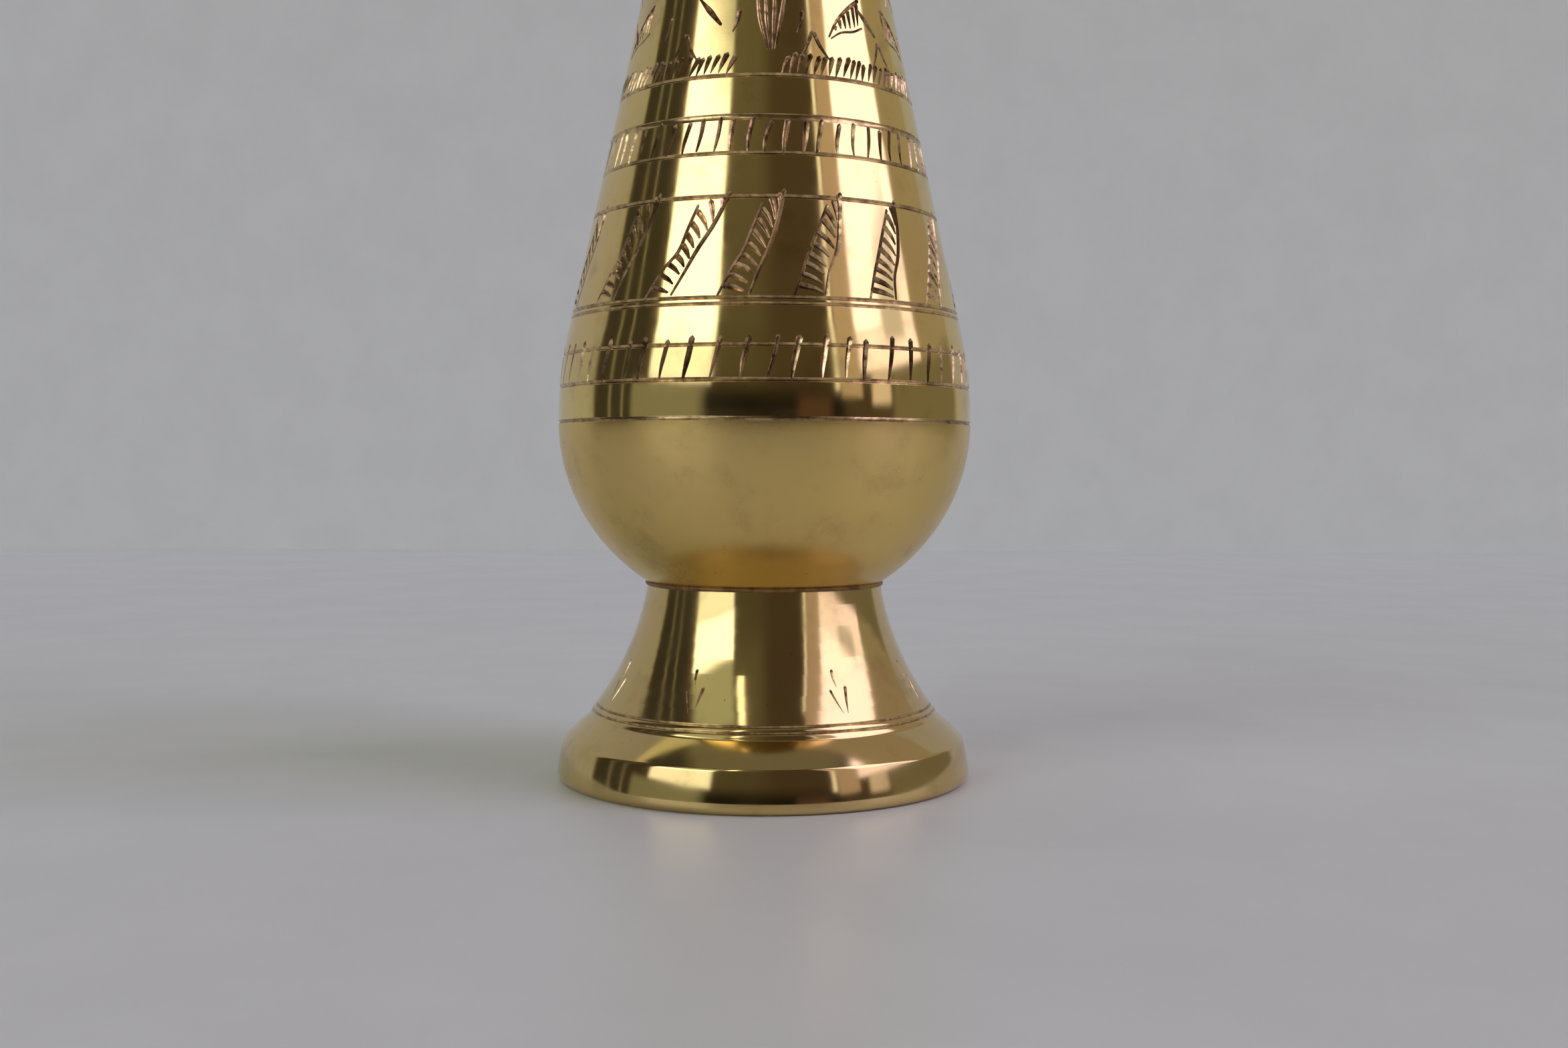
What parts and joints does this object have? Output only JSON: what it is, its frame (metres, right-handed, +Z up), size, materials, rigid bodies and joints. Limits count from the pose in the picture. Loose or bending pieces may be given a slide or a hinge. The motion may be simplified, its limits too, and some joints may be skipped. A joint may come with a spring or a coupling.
{
  "type": "footed brass vase",
  "caption": "Tall footed brass flower vase: bowl on a flared hollow foot, tapering engraved body, narrow neck and trumpet mouth.",
  "frame": {"origin": "on the vase's axis, on the surface that the foot stands on", "axes": "+Z up along the axis of revolution; X and Y are equivalent"},
  "size_m": [0.067, 0.067, 0.1998],
  "materials": {
    "polished_brass": "mirror polished, hand engraved",
    "satin_brass": "satin, scraped and lightly buffed",
    "solder": "dull brown spelter with flux stain"
  },
  "bodies": {
    "root": {"foot": "polished_brass", "foot_solder_bead": "solder", "lower_bowl": "satin_brass", "girdle_solder_ring": "solder", "upper_body": "polished_brass", "neck_solder_ring": "solder", "trumpet_mouth": "polished_brass"}
  },
  "joints": []
}
